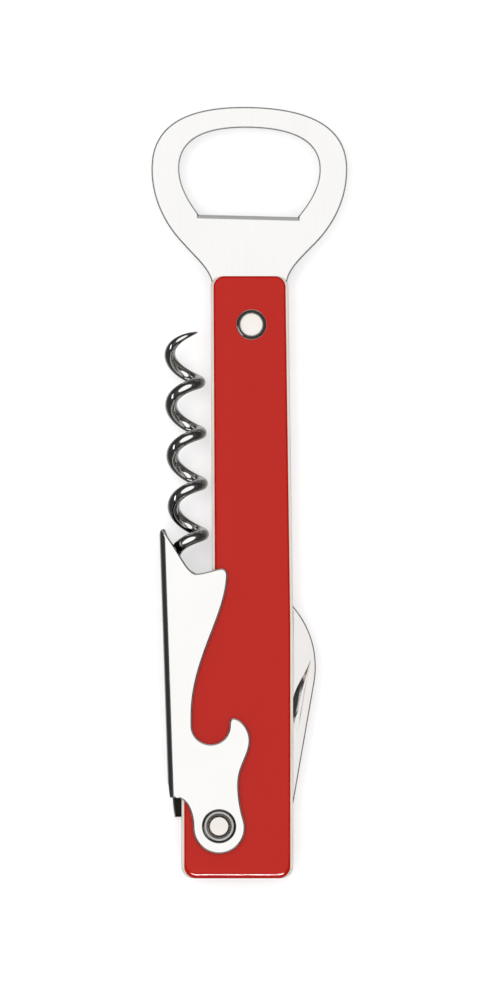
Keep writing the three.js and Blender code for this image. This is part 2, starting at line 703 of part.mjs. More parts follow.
const corkscrew = new THREE.Group();
corkscrew.name = "waiters_corkscrew";
corkscrew.position.z = HALF_THICKNESS;
corkscrew.add(
  openerPlate(),
  liner("front_liner", HALF_SLOT, LINER_FACE),
  liner("back_liner", -LINER_FACE, -HALF_SLOT),
  scale("front_scale", LINER_FACE, SCALE_FACE),
  scale("back_scale", -SCALE_FACE, -LINER_FACE),
  backSpring(),
  domedRivet(),
  linerPin("shank_pin", shankPin),
  linerPin("spring_pin_upper", upperSpringPin),
  linerPin("spring_pin_lower", lowerSpringPin),
  linerPin("worm_pin", wormPin),
  linerPin("knife_pin", knifePivot),
  knifeWasher("knife_washer_front", 1),
  knifeWasher("knife_washer_back", -1),
  atPivot(
    leverPivot,
    0,
    lever(),
    leverRivet(),
    leverWasher("lever_washer_front", 1),
    leverWasher("lever_washer_back", -1),
    leverBush(),
  ),
  atPivot(wormPin, WORM_LEAN, worm()),
  atPivot(knifePivot, -KNIFE_LEAN, knifeBlade()),
);

export default corkscrew;
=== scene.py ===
"""The looks of a waiter's corkscrew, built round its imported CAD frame.

Lengths are millimetres, except in the last section, where the floor, the lights and the camera
are placed in metres.
"""

import math

import bmesh
import bpy
from mathutils import Matrix, Vector


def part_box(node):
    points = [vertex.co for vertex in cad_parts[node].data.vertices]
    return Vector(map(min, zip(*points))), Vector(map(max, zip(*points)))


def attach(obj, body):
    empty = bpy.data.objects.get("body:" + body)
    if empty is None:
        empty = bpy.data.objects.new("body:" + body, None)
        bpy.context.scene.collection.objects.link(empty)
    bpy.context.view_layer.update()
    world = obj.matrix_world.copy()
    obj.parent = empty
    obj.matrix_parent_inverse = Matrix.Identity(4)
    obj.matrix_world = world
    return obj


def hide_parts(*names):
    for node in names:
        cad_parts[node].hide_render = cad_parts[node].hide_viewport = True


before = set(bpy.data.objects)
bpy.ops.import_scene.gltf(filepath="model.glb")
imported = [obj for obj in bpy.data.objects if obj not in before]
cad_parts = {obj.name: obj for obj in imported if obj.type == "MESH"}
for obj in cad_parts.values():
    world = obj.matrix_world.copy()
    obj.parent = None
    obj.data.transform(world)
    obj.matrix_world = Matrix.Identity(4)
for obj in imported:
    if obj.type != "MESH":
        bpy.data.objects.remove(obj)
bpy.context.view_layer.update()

MM = 0.001


# ---- Places read from the frame ----


def node_box(name):
    low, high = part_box(name)
    return [v / MM for v in low], [v / MM for v in high]


def node_middle(name):
    low, high = node_box(name)
    return [(a + b) / 2 for a, b in zip(low, high)]


SCALE_LOW, SCALE_HIGH = node_box("front_scale")
LINER_HIGH = node_box("front_liner")[1]
OPENER_LOW, OPENER_HIGH = node_box("opener_plate")
LEVER_LOW, LEVER_HIGH = node_box("lever")
BLADE_LOW, BLADE_HIGH = node_box("knife_blade")
MIDDLE = (OPENER_LOW[2] + OPENER_HIGH[2]) / 2
HALF_SLOT = OPENER_HIGH[2] - MIDDLE
LINER_FACE = LINER_HIGH[2] - MIDDLE
SCALE_FACE = SCALE_HIGH[2] - MIDDLE
FLANK_OUTER = LEVER_HIGH[2] - MIDDLE
FOOT_Y = SCALE_LOW[1]
TOP_Y = SCALE_HIGH[1]
RIGHT_FOOT = SCALE_HIGH[0]
LEFT_FOOT = SCALE_LOW[0]
LEVER_PIVOT = node_middle("lever_rivet")
WORM_PIN = node_middle("worm_pin")
KNIFE_PIVOT = node_middle("knife_pin")
HEAD_RIVET = node_middle("head_rivet")
LEVER_FROM_LEFT = LEVER_PIVOT[0] - LEFT_FOOT
LEVER_FROM_FOOT = LEVER_PIVOT[1] - FOOT_Y
PIN_RADIUS = 1.5
PIN_HOLE = PIN_RADIUS + 0.05
RIVET_HOLE = 2.0


# ---- Outlines ----

CORNER_STEP = math.radians(5)  # of a corner's turn, from one point to the next
SAME_POINT = 0.02  # points closer than this count as one
MITRE_LIMIT = 0.6  # least cosine of half a corner's turn, so that no corner reaches far inwards


def eased(share):
    """A share held between 0 and 1, with a soft start and end."""
    share = max(0, min(1, share))
    return share * share * (3 - 2 * share)


def rounded(corners):
    """A closed line of [x, y, radius] corners, with each corner turned on its radius."""
    line = []
    count = len(corners)
    for i, (x, y, radius) in enumerate(corners):
        here = Vector((x, y))
        if radius == 0:
            line.append(here)
            continue
        back = (Vector(corners[i - 1][:2]) - here).normalized()
        ahead = (Vector(corners[(i + 1) % count][:2]) - here).normalized()
        half = math.acos(max(-1, min(1, back.dot(ahead)))) / 2
        centre = here + (back + ahead).normalized() * (radius / math.sin(half))
        first = here + back * (radius / math.tan(half))
        turn = (math.pi - 2 * half) * math.copysign(1, ahead.x * back.y - ahead.y * back.x)
        steps = max(2, math.ceil(abs(turn) / CORNER_STEP))
        for k in range(steps + 1):
            arm = (first - centre).to_3d()
            arm.rotate(Matrix.Rotation(turn * k / steps, 3, "Z"))
            line.append(centre + arm.to_2d())
    return line


def bezier(start, c1, c2, end, steps):
    """Points after the start of a cubic curve."""
    made = []
    for k in range(1, steps + 1):
        t = k / steps
        s = 1 - t
        made.append(start * s**3 + c1 * 3 * s * s * t + c2 * 3 * s * t * t + end * t**3)
    return made


def arc(centre, radius, first, last, steps):
    """Points of an arc, both ends included."""
    return [
        centre
        + radius
        * Vector(
            (
                math.cos(first + (last - first) * k / steps),
                math.sin(first + (last - first) * k / steps),
            )
        )
        for k in range(steps + 1)
    ]


def spaced(line, most):
    """The same closed line with no stretch longer than most."""
    made = []
    for i, here in enumerate(line):
        ahead = line[(i + 1) % len(line)]
        steps = max(1, math.ceil((ahead - here).length / most))
        made += [here.lerp(ahead, k / steps) for k in range(steps)]
    return made


def distinct(line):
    """The closed line without repeated points."""
    made = []
    for point in line:
        if not made or (point - made[-1]).length > SAME_POINT:
            made.append(point)
    if (made[0] - made[-1]).length < SAME_POINT:
        made.pop()
    return made


def area(line):
    """Positive where the closed line runs anticlockwise."""
    return sum(a.x * b.y - b.x * a.y for a, b in zip(line, line[1:] + line[:1])) / 2


def inward(line, hole=False):
    """At each point of a closed line, the way into the material, long enough to keep edges parallel."""
    sign = 1 if (area(line) > 0) != hole else -1
    made = []
    for i, here in enumerate(line):
        a = (here - line[i - 1]).normalized()
        b = (line[(i + 1) % len(line)] - here).normalized()
        normal = Vector((-a.y - b.y, a.x + b.x)) * sign
        normal.normalize()
        made.append(normal / max(MITRE_LIMIT, abs(normal.dot(Vector((-a.y, a.x))))))
    return made


# ---- Meshes ----


def finish_mesh(name, bm, material, smooth=35):
    """A new object from a bmesh in millimetres, with sharp edges only where faces turn."""
    bmesh.ops.recalc_face_normals(bm, faces=bm.faces)
    bmesh.ops.scale(bm, vec=(MM, MM, MM), verts=bm.verts)
    mesh = bpy.data.meshes.new(name)
    bm.to_mesh(mesh)
    bm.free()
    mesh.shade_smooth()
    mesh.set_sharp_from_angle(angle=math.radians(smooth))
    mesh.materials.append(material)
    made = bpy.data.objects.new(name, mesh)
    bpy.context.scene.collection.objects.link(made)
    return made


def even_normals(made):
    """Keeps wide flat faces flat where they meet rounded edges."""
    even = made.modifiers.new("even normals", "WEIGHTED_NORMAL")
    even.keep_sharp = True
    even.weight = 100
    return made


def belongs(made, body, slot, *nodes):
    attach(made, body)
    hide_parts(*nodes)
    return made


def stacked(bm, line, levels, hole=False):
    """Walls round a closed line. levels(i) gives (inset, height) pairs; returns the end edges."""
    ways = inward(line, hole)
    rings = None
    for i, (here, way) in enumerate(zip(line, ways)):
        column = []
        for inset, height in levels(i):
            point = here + way * inset
            column.append(bm.verts.new((point.x, point.y, height)))
        if rings is None:
            rings = [[] for _ in column]
        for ring, vert in zip(rings, column):
            ring.append(vert)
    count = len(line)
    for low, high in zip(rings, rings[1:]):
        for i in range(count):
            j = (i + 1) % count
            bm.faces.new((low[i], low[j], high[j], high[i]))
    ends = []
    for ring in (rings[0], rings[-1]):
        ends.append([bm.edges.get((ring[i], ring[(i + 1) % count])) for i in range(count)])
    return ends


def plate(line, levels, holes=(), pockets=()):
    """A plate with shaped edges. holes are (line, levels) pairs; pockets are sunk from the top."""
    bm = bmesh.new()
    low, high = stacked(bm, line, levels)
    for hole_line, hole_levels in holes:
        low_hole, high_hole = stacked(bm, hole_line, hole_levels, hole=True)
        low += low_hole
        high += high_hole
    for pocket_line, pocket_levels in pockets:
        floor, rim = stacked(bm, pocket_line, pocket_levels)
        bmesh.ops.triangle_fill(bm, edges=floor, use_beauty=True, use_dissolve=False)
        high += rim
    for edges in (low, high):
        bmesh.ops.triangle_fill(bm, edges=edges, use_beauty=True, use_dissolve=False)
    return bm


def edge_levels(low, high, radius, steps=3):
    """A wall between two heights with both of its edges turned on a radius."""
    made = []
    for k in range(steps + 1):
        turn = math.pi / 2 * k / steps
        made.append((radius * (1 - math.sin(turn)), low + radius * (1 - math.cos(turn))))
    for k in range(steps + 1):
        turn = math.pi / 2 * k / steps
        made.append((radius * (1 - math.cos(turn)), high - radius * (1 - math.sin(turn))))
    return made


def round_hole(centre, radius, low, high, edge=0.1, steps=40):
    """The line and levels of a hole through a plate, for plate()."""
    line = arc(Vector(centre[:2]), radius, 0, 2 * math.pi, steps)[:-1]
    levels = edge_levels(low, high, edge, 2)
    return line, lambda i: levels


def turned(profile, centre, sides=64):
    """A solid turned about the vertical through a centre, from (radius, height) pairs."""
    bm = bmesh.new()
    rings = []
    for radius, height in profile:
        if radius == 0:
            rings.append([bm.verts.new((centre[0], centre[1], height))])
            continue
        rings.append(
            [
                bm.verts.new(
                    (
                        centre[0] + radius * math.cos(2 * math.pi * s / sides),
                        centre[1] + radius * math.sin(2 * math.pi * s / sides),
                        height,
                    )
                )
                for s in range(sides)
            ]
        )
    closed = profile[0] == profile[-1]
    if closed:
        rings[-1] = rings[0]
    for a, b in zip(rings, rings[1:]):
        for s in range(sides):
            t = (s + 1) % sides
            if len(a) == 1:
                bm.faces.new((a[0], b[s], b[t]))
            elif len(b) == 1:
                bm.faces.new((a[s], a[t], b[0]))
            else:
                bm.faces.new((a[s], a[t], b[t], b[s]))
    if closed:
        bmesh.ops.delete(bm, geom=[v for v in bm.verts if not v.link_faces], context="VERTS")
    return bm


def swept(centres, radii, sides=28):
    """A round wire along 3-D points, closed by rounded caps."""
    bm = bmesh.new()
    across = Vector((0, 0, 1))
    rings = []
    last = len(centres) - 1
    for i, centre in enumerate(centres):
        along = (centres[min(i + 1, last)] - centres[max(i - 1, 0)]).normalized()
        across = (across - along * across.dot(along)).normalized()
        third = along.cross(across)
        ring = []
        for s in range(sides):
            turn = 2 * math.pi * s / sides
            arm = across * math.cos(turn) + third * math.sin(turn)
            ring.append(bm.verts.new(centre + arm * radii[i]))
        rings.append(ring)
    for a, b in zip(rings, rings[1:]):
        for s in range(sides):
            t = (s + 1) % sides
            bm.faces.new((a[s], a[t], b[t], b[s]))
    bm.faces.new(rings[0][::-1])
    bm.faces.new(rings[-1])
    return bm


# ---- Materials ----

NOISE_LOW, NOISE_HIGH = 0.3, 0.7  # nearly all of a noise's values lie between these
EVEN = (1, 1, 1)
BRUSHED = (1, 0.03, 1)  # the noise is drawn out along the piece
MOULDED = (1, 0.12, 1)


def new_material(name):
    material = bpy.data.materials.new(name)
    material.use_nodes = True
    nodes = material.node_tree.nodes
    shader = nodes["Principled BSDF"]
    place = nodes.new("ShaderNodeTexCoord")
    return material, nodes, material.node_tree.links, shader, place.outputs["Object"]


def noise_of(nodes, links, place, stretch, scale, detail):
    """Noise in object space, stretched along the given axes."""
    mapping = nodes.new("ShaderNodeMapping")
    mapping.inputs["Scale"].default_value = stretch
    links.new(place, mapping.inputs["Vector"])
    noise = nodes.new("ShaderNodeTexNoise")
    noise.inputs["Scale"].default_value = scale
    noise.inputs["Detail"].default_value = detail
    links.new(mapping.outputs["Vector"], noise.inputs["Vector"])
    return noise.outputs["Fac"]


def grey(level):
    return level, level, level


def ramp_of(nodes, links, value, stops):
    """Colours along a value, from (position, colour) stops."""
    ramp = nodes.new("ShaderNodeValToRGB")
    elements = ramp.color_ramp.elements
    for element, (position, colour) in zip(elements, (stops[0], stops[-1])):
        element.position = position
        element.color = (*colour, 1)
    for position, colour in stops[1:-1]:
        elements.new(position).color = (*colour, 1)
    links.new(value, ramp.inputs["Fac"])
    return ramp.outputs["Color"]


def range_of(nodes, links, value, low, high):
    """A noise value spread over a range of its own."""
    spread = nodes.new("ShaderNodeMapRange")
    spread.inputs["From Min"].default_value = NOISE_LOW
    spread.inputs["From Max"].default_value = NOISE_HIGH
    spread.inputs["To Min"].default_value = low
    spread.inputs["To Max"].default_value = high
    links.new(value, spread.inputs["Value"])
    return spread.outputs["Result"]


def bump_of(nodes, links, value, distance, strength, below=None):
    """Bumps from a value, on top of the ones below."""
    bump = nodes.new("ShaderNodeBump")
    bump.inputs["Distance"].default_value = distance * MM
    bump.inputs["Strength"].default_value = strength
    links.new(value, bump.inputs["Height"])
    if below is not None:
        links.new(below, bump.inputs["Normal"])
    return bump.outputs["Normal"]


def steel(name, colour, dark, rough, brushed, grain):
    """Metal with fine brushing, drawn out as given, and faint blotches of a darker tone."""
    material, nodes, links, shader, place = new_material(name)
    shader.inputs["Metallic"].default_value = 1
    blotch = noise_of(nodes, links, place, EVEN, 90, 4)
    brush = noise_of(nodes, links, place, brushed, 2600, 2)
    tone = ramp_of(nodes, links, blotch, [(NOISE_LOW, dark), (NOISE_HIGH, colour)])
    links.new(tone, shader.inputs["Base Color"])
    links.new(range_of(nodes, links, brush, *rough), shader.inputs["Roughness"])
    fine = bump_of(nodes, links, brush, 0.004, grain)
    wavy = bump_of(nodes, links, blotch, 0.02, 0.25 * grain, fine)
    links.new(wavy, shader.inputs["Normal"])
    return material


def plastic(name, colour, dark):
    """Glossy moulded plastic with a faint orange peel and slight colour streaks."""
    material, nodes, links, shader, place = new_material(name)
    shader.inputs["Specular IOR Level"].default_value = 0.2
    streak = noise_of(nodes, links, place, MOULDED, 160, 3)
    peel = noise_of(nodes, links, place, EVEN, 900, 2)
    haze = noise_of(nodes, links, place, EVEN, 260, 4)
    tone = ramp_of(nodes, links, streak, [(NOISE_LOW, dark), (NOISE_HIGH, colour)])
    links.new(tone, shader.inputs["Base Color"])
    links.new(range_of(nodes, links, haze, 0.12, 0.15), shader.inputs["Roughness"])
    links.new(bump_of(nodes, links, peel, 0.004, 0.1), shader.inputs["Normal"])
    return material


plate_steel = steel(
    "plate_steel", (0.888, 0.88, 0.864), (0.872, 0.864, 0.848), (0.22, 0.27), BRUSHED, 0.06
)
blade_steel = steel(
    "blade_steel", (0.895, 0.887, 0.868), (0.875, 0.867, 0.848), (0.13, 0.18), BRUSHED, 0.06
)
knife_steel = steel(
    "knife_steel", (0.795, 0.766, 0.744), (0.78, 0.75, 0.728), (0.16, 0.21), BRUSHED, 0.06
)
liner_steel = steel(
    "liner_steel", (0.80, 0.77, 0.70), (0.70, 0.67, 0.60), (0.3, 0.42), (1, 0.05, 1), 0.3
)
bright_steel = steel(
    "bright_steel", (0.90, 0.89, 0.87), (0.84, 0.83, 0.81), (0.05, 0.12), EVEN, 0.04
)
# Near-black steel for the inner faces of the lever's channel: painted shade, not a finish of its own
painted_shade_steel = steel(
    "painted_shade_steel", (0.05, 0.048, 0.045), (0.03, 0.029, 0.027), (0.45, 0.6), (1, 0.2, 1), 0.5
)
ring_steel = steel(
    "ring_steel", (0.55, 0.54, 0.53), (0.44, 0.43, 0.42), (0.16, 0.26), EVEN, 0.2
)
rivet_steel = steel(
    "rivet_steel", (0.90, 0.86, 0.81), (0.80, 0.76, 0.71), (0.12, 0.2), EVEN, 0.15
)
red_plastic = plastic("red_plastic", (0.352, 0.0067, 0.0021), (0.342, 0.006, 0.0017))


# ---- Handle ----

TOP_WIDTH = 14.4
RIGHT_FLARE = 1.0
WAIST_INSET = 0.3
SHOULDER_HEIGHT = 58.1
SHOULDER_DROP = 8
TOP_CORNER = 2.2
FOOT_CORNER = 2.4
SHOULDER_BEND = 3
SHOULDER_FOOT_BEND = 4
LINER_MARGIN = 0.55
RIGHT_TOP = TOP_WIDTH / 2
LEFT_WAIST = -RIGHT_TOP + WAIST_INSET
SHOULDER_Y = FOOT_Y + SHOULDER_HEIGHT


def handle_line(margin):
    """The handle's outline, a margin larger than the scales."""
    corners = [
        (-RIGHT_TOP - margin, TOP_Y, TOP_CORNER),
        (LEFT_WAIST - margin, SHOULDER_Y, SHOULDER_BEND),
        (LEFT_FOOT - margin, SHOULDER_Y - SHOULDER_DROP, SHOULDER_FOOT_BEND),
        (LEFT_FOOT - margin, FOOT_Y, FOOT_CORNER),
        (RIGHT_FOOT + margin, FOOT_Y, FOOT_CORNER),
        (RIGHT_FOOT + margin, SHOULDER_Y - SHOULDER_DROP, 0),
        (RIGHT_TOP + margin, TOP_Y, TOP_CORNER),
    ]
    return spaced(distinct(rounded(corners)), 2.5)


SIDE_ROLL = 0.42  # width of the rounded edge along the sides
FOOT_ROLL = 1.0  # and across the foot
ROLL_EASE = 3.2  # the foot's roll gives way to the sides' over this height
ROLL_HEIGHT = 1.32  # of a roll's width
ROLL_TURNS = ((0.6, 90, 52, 4), (0.7, 52, 50, 2), (0.05, 50, 45, 2), (0.26, 43, 39, 2), (0.17, 38, 0, 4))
LOWER_EDGE = 0.12


def roll_levels(width, low, high):
    """A wall whose upper edge leans in, then turns over a crease on to the flat face.

    Each turn has a share of the length, its first and last tilt in degrees, and its steps.
    """
    bends = []
    for length, first, last, steps in ROLL_TURNS:
        for k in range(steps):
            tilt = math.radians(first + (last - first) * (k + 0.5) / steps)
            bends.append((length / steps * math.cos(tilt), length / steps * math.sin(tilt)))
    across = sum(b[0] for b in bends)
    up = sum(b[1] for b in bends)
    inset, height = 0.0, high - width * ROLL_HEIGHT
    made = [(LOWER_EDGE, low), (0.0, low + LOWER_EDGE), (inset, height)]
    for dx, dy in bends:
        inset += dx / across * width
        height += dy / up * width * ROLL_HEIGHT
        made.append((inset, height))
    return made


def build_scale(name, side):
    """The red scale on the front, or on the back where side is -1."""
    line = handle_line(0)
    low, high = LINER_FACE, SCALE_FACE

    def levels(i):
        near_foot = eased(1 - (line[i].y - FOOT_Y) / ROLL_EASE)
        return roll_levels(SIDE_ROLL + (FOOT_ROLL - SIDE_ROLL) * near_foot, low, high)

    holes = [
        round_hole(HEAD_RIVET, PIN_HOLE, low, high),
        round_hole(LEVER_PIVOT, RIVET_HOLE, low, high),
    ]
    bm = plate(line, levels, holes)
    bmesh.ops.scale(bm, vec=(1, 1, side), verts=bm.verts)
    bmesh.ops.translate(bm, vec=(0, 0, MIDDLE), verts=bm.verts)
    made = even_normals(finish_mesh(name, bm, red_plastic, 20))
    made.visible_glossy = False  # the polished worm beside it mirrors the dark studio instead
    return made


belongs(build_scale("front_grip", 1), "handle", "red_scale", "front_scale")
belongs(build_scale("back_grip", -1), "handle", "red_scale", "back_scale")


LINER_PINS = ("head_rivet", "shank_pin", "spring_pin_upper", "spring_pin_lower", "worm_pin", "knife_pin")


def build_liner(name, low, high):
    levels = edge_levels(low, high, 0.1, 2)
    holes = [round_hole(node_middle(pin), PIN_HOLE, low, high) for pin in LINER_PINS]
    holes.append(round_hole(LEVER_PIVOT, RIVET_HOLE, low, high))
    bm = plate(handle_line(LINER_MARGIN), lambda i: levels, holes)
    return even_normals(finish_mesh(name, bm, liner_steel))


belongs(
    build_liner("front_liner_plate", MIDDLE + HALF_SLOT, MIDDLE + LINER_FACE),
    "handle",
    "liner_steel",
    "front_liner",
)
belongs(
    build_liner("back_liner_plate", MIDDLE - LINER_FACE, MIDDLE - HALF_SLOT),
    "handle",
    "liner_steel",
    "back_liner",
)


# ---- Opener ----

HEAD_LENGTH = 33.9
HEAD_WIDTH = 39.2
HEAD_WIDEST = 21.5
HEAD_LEAN = math.radians(1.4)
RIM_SIDE = 5.55
RIM_TOP = 4.15
LIP_HEIGHT = 12.1
LIP_WIDTH = 19.8
LIP_CHAMFER = 0.85  # how far the lip's chamfer reaches back
LIP_FALL = 0.52  # and how far it drops
LIP_CURVE = 1.1  # above 1 the chamfer bows out a little
SHANK_LENGTH = 25.6
OUTER_ROUND = 0.4  # radius of the ring's outer edges
OPENING_ROUND = 0.34


def head_point(x, y):
    """A point of the ring, which leans a little to the right."""
    lean = Matrix.Rotation(-HEAD_LEAN, 2)
    middle = Vector((0, TOP_Y + HEAD_WIDEST))
    return middle + lean @ (Vector((x, TOP_Y + y)) - middle)


def through(points, steps):
    """A line of cubic stretches through every third point."""
    made = [points[0]]
    for k in range(0, len(points) - 1, 3):
        made += bezier(*points[k : k + 4], steps)
    return made


def head_side(side):
    """Curve points up one side of the ring, from its neck to the middle of its top."""
    w = side * HEAD_WIDTH / 2
    neck = side * (RIGHT_TOP + LINER_MARGIN / 2)
    return [
        Vector((neck, TOP_Y - 2)),
        Vector((neck, TOP_Y + 1)),
        head_point(0.53 * w, 3.4),
        head_point(0.66 * w, 6.2),
        head_point(0.82 * w, 9.3),
        head_point(w, HEAD_WIDEST - 7),
        head_point(w, HEAD_WIDEST),
        head_point(w, HEAD_WIDEST + 8.6),
        head_point(0.64 * w, HEAD_LENGTH),
        head_point(0, HEAD_LENGTH),
    ]


def opening_side(side):
    """Curve points up one side of the opening, from the end of its lip to the middle of its top."""
    w = side * (HEAD_WIDTH / 2 - RIM_SIDE)
    top = HEAD_LENGTH - RIM_TOP
    lip = side * LIP_WIDTH / 2
    return [
        head_point(lip, LIP_HEIGHT),
        head_point(lip + side * 1.9, LIP_HEIGHT + 2.4),
        head_point(w, HEAD_WIDEST - 3.7),
        head_point(w, HEAD_WIDEST),
        head_point(w, HEAD_WIDEST + 5.7),
        head_point(0.64 * w, top),
        head_point(0, top),
    ]


def build_opener():
    shank = RIGHT_TOP - WAIST_INSET
    end = TOP_Y - SHANK_LENGTH
    outer = [Vector((-shank, end)), Vector((shank, end))]
    outer += through(head_side(1), 28)
    outer += through(head_side(-1)[::-1], 28)[1:]
    outer = spaced(distinct(outer), 1.5)
    opening = through(opening_side(1), 32) + through(opening_side(-1)[::-1], 32)[1:]
    opening = spaced(distinct(opening), 0.45)
    ways = inward(opening, hole=True)
    plain = edge_levels(-HALF_SLOT, HALF_SLOT, OPENING_ROUND, 5)
    half = len(plain) // 2
    lip = plain[:half]
    for k in range(half):
        share = k / (half - 1)
        lip.append((LIP_CHAMFER * share, HALF_SLOT - LIP_FALL * (1 - share) ** LIP_CURVE))

    def opening_levels(i):
        faces_up = ways[i].y < -0.95
        on_lip = faces_up and opening[i].y < TOP_Y + LIP_HEIGHT + 1
        return lip if on_lip else plain

    outer_levels = edge_levels(-HALF_SLOT, HALF_SLOT, OUTER_ROUND, 5)
    holes = [(opening, opening_levels)]
    holes += [
        round_hole(node_middle(pin), PIN_HOLE, -HALF_SLOT, HALF_SLOT)
        for pin in ("head_rivet", "shank_pin")
    ]
    bm = plate(outer, lambda i: outer_levels, holes)
    bmesh.ops.translate(bm, vec=(0, 0, MIDDLE), verts=bm.verts)
    return even_normals(finish_mesh("opener_ring", bm, plate_steel, 50))


belongs(build_opener(), "handle", "plate_steel", "opener_plate")


# ---- Lever ----

LEVER_REACH = 59.6
LEVER_SHEET = 1.1
LEVER_LEAN = math.radians(1.9)
LEVER_ROLL = 1.6  # outer radius of the two folds
LEVER_EDGE = 0.34  # radius of the sheet's own edges
FOLD_CUTS = 14  # lines across each fold, so that it bends smoothly
SHORTEST_EDGE = 2e-3
BOSS_RADIUS = 5.15
BOSS_DROP = 0.3
NOTCH_RADIUS = 3.8
NOTCH_HEIGHT = 20.4
FAR_FLANK_FOOT = 1.94
NEAR_RISE = 0.66  # how far round the near fold its foot starts to rise to the web's foot
FAR_RISE = 0.25
RISE_WIDTH = 0.3
TIP_DROP = 0.6  # the web starts this far below the spike's tip
CORNER_GAP = 0.3  # between the web's foot and the handle's corner as they pass
FLANK_INNER = FLANK_OUTER - LEVER_SHEET
LEVER_TIP_LEFT = LEVER_LOW[0] - LEVER_PIVOT[0]


def lever_left(height):
    """The lever's left face, at a height over the boss."""
    return LEVER_TIP_LEFT + (LEVER_REACH - height) * math.tan(LEVER_LEAN)


def lever_line(far):
    """One flank seen from the front, from the tip of the spike round to the left below the boss."""
    left = lever_left(LEVER_REACH)
    shoulder = LEVER_REACH - 9.6
    notch_x = -0.44 * NOTCH_RADIUS
    notch_left = notch_x - NOTCH_RADIUS
    notch_right = notch_x + NOTCH_RADIUS
    hook = NOTCH_HEIGHT + 1.4
    line = [Vector((left + 0.25, LEVER_REACH))]

    def on(c1x, c1y, c2x, c2y, x, y, steps=18):
        line.extend(bezier(line[-1], Vector((c1x, c1y)), Vector((c2x, c2y)), Vector((x, y)), steps))

    on(0.74 * left, LEVER_REACH - 2.6, 0.58 * left, LEVER_REACH - 8, 0.41 * left, shoulder + 0.7)
    on(0.28 * left, shoulder + 0.6, 0.12 * left, shoulder + 1.4, 0.2, shoulder + 1.7, 12)
    on(1.2, shoulder + 1.85, 1.75, shoulder + 1.2, 1.6, shoulder, 10)
    on(1.2, shoulder - 8, notch_left, NOTCH_HEIGHT + 13, notch_left, NOTCH_HEIGHT + 2, 40)
    line.extend(arc(Vector((notch_x, NOTCH_HEIGHT)), NOTCH_RADIUS, math.pi, 2 * math.pi, 36))
    on(notch_right, hook - 0.6, notch_right + 0.2, hook + 0.2, notch_right + 0.9, hook, 10)
    on(notch_right + 2.3, hook - 0.2, notch_right + 4, hook - 2, notch_right + 4, hook - 4.4, 18)
    on(notch_right + 4, hook - 7.4, 3.85, 12.4, 3.85, 8.6, 20)
    on(3.85, 6, 0.84 * BOSS_RADIUS, 3.5, 0.951 * BOSS_RADIUS, 0.309 * BOSS_RADIUS, 14)
    line.extend(arc(Vector((0, 0)), BOSS_RADIUS, 0.1 * math.pi, -math.pi, 60))
    if far:
        line.append(Vector((-BOSS_RADIUS - 0.05, FAR_FLANK_FOOT - 0.4)))
        line.append(Vector((-BOSS_RADIUS - 0.5, FAR_FLANK_FOOT)))
    else:
        foot = -BOSS_RADIUS + 0.69 * (lever_left(6) + BOSS_RADIUS)
        on(-BOSS_RADIUS, 2.6, 0.3 * foot - 0.7 * BOSS_RADIUS, 6, foot, 6, 16)
    return line


ROLL_INNER = LEVER_ROLL - LEVER_SHEET
ROLL_LENGTH = (ROLL_INNER + LEVER_SHEET / 2) * math.pi / 2
WEB_WIDTH = 2 * (FLANK_OUTER - LEVER_ROLL)
FAR_START = -2 * ROLL_LENGTH - WEB_WIDTH
LEAN_TURN = Matrix.Rotation(LEVER_LEAN, 2)


def flat_place(point, far):
    """A point of a flank, seen from the front, on the unfolded sheet."""
    across, along = LEAN_TURN.transposed() @ (point - Vector((lever_left(0), 0)))
    if across >= LEVER_ROLL:
        u = across - LEVER_ROLL
    else:
        u = -ROLL_LENGTH * math.asin(min(1, 1 - across / LEVER_ROLL)) / (math.pi / 2)
    return Vector((FAR_START - u if far else u, along))


def folded_place(point):
    """A point of the unfolded sheet, with its height through the sheet, on the folded lever."""
    u, along, height = point
    far = u < FAR_START / 2
    if far:
        u = FAR_START - u
    half_web = FLANK_OUTER - LEVER_ROLL
    if u >= 0:
        across, z = LEVER_ROLL + u, FLANK_INNER + height
    elif u > -ROLL_LENGTH:
        turn = -u / ROLL_LENGTH * math.pi / 2
        reach = ROLL_INNER + height
        across, z = LEVER_ROLL - reach * math.sin(turn), half_web + reach * math.cos(turn)
    else:
        across, z = LEVER_SHEET - height, half_web + u + ROLL_LENGTH
    x, y = LEAN_TURN @ Vector((across, along)) + Vector((lever_left(0), 0))
    return Vector((x, y, -z if far else z))


